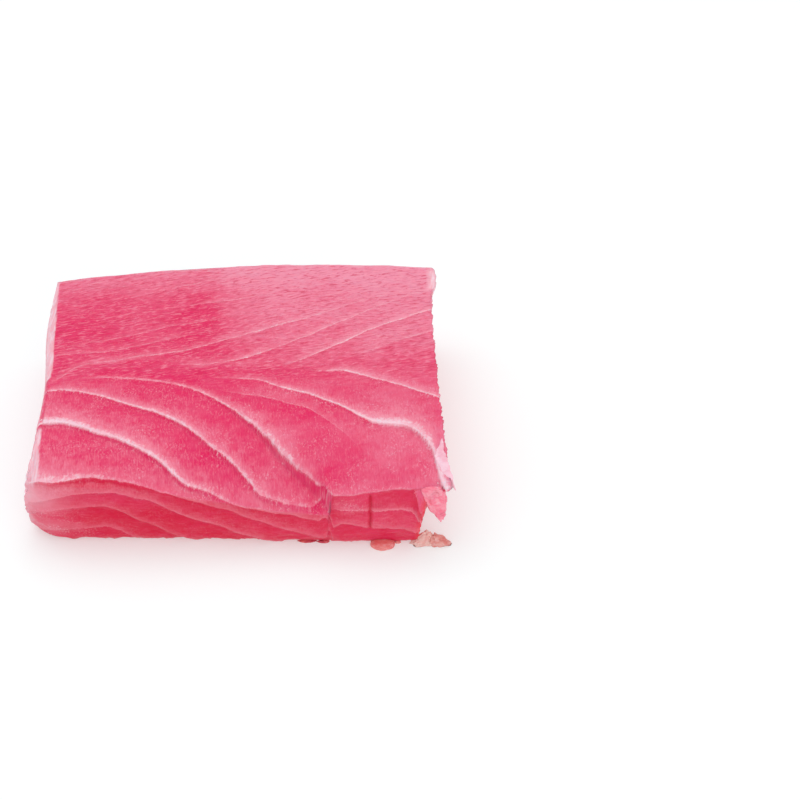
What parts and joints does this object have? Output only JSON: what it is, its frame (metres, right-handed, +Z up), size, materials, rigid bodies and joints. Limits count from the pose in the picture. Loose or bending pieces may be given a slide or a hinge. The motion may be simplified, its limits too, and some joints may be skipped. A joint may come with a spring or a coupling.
{
  "type": "raw tuna steak",
  "caption": "Thick block of raw tuna loin with a level top, flakes that overlap and roll down over a layered front face, and two cut ends; lies on its flat underside.",
  "frame": {"origin": "bottom centre of the block's box, on the surface that it lies on", "axes": "+X to the right along the long side, from one cut end to the other; +Y to the back, away from the layered front face; +Z up"},
  "size_m": [0.1166, 0.0904, 0.0318],
  "materials": {
    "flesh": "moist satin raw fish flesh, pink to deep red, with thin white septa between the flakes"
  },
  "bodies": {
    "root": {"tuna_steak": "flesh"}
  },
  "joints": []
}
